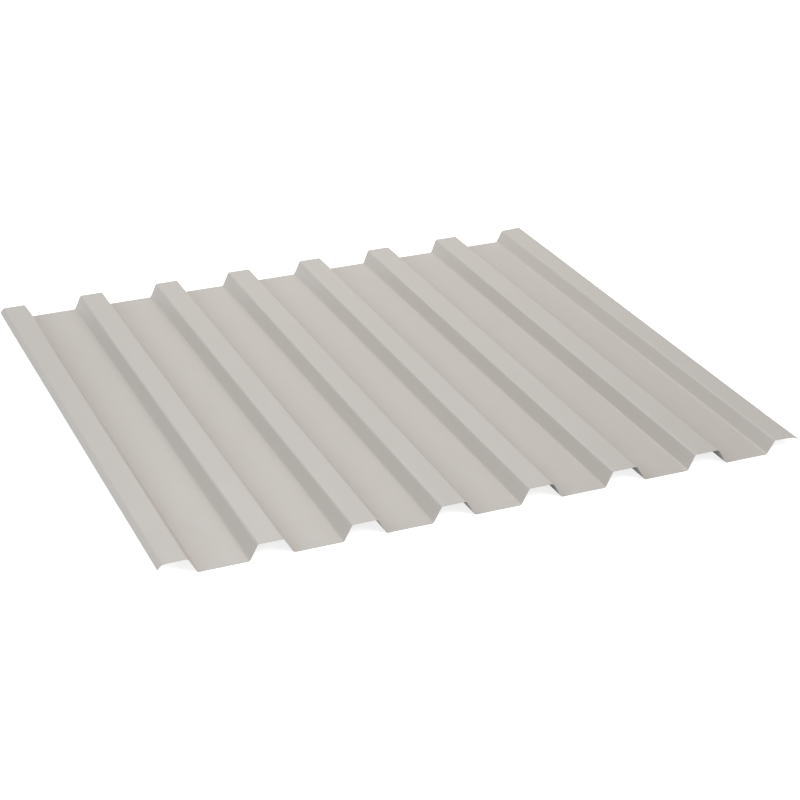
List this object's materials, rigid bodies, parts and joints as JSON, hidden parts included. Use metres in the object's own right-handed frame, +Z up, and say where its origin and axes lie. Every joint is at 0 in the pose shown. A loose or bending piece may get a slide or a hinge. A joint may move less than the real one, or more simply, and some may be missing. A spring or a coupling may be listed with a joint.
{
  "type": "trapezoidal profiled steel sheet",
  "caption": "Roll-formed trapezoidal steel roofing and cladding sheet, colour coated light grey, with flat pans between raised ribs and lapping edge ribs.",
  "frame": {"origin": "centre of the sheet's box at its base, the plane on which the pans lie", "axes": "+X across the ribs, from the underlap edge to the overlap edge; +Y along the ribs; +Z up, out of the weather face"},
  "size_m": [1.0506, 1.027, 0.0257],
  "materials": {
    "coated_steel": "satin polyester coil coating, warm light grey"
  },
  "bodies": {
    "root": {"profiled_sheet": "coated_steel"}
  },
  "joints": []
}
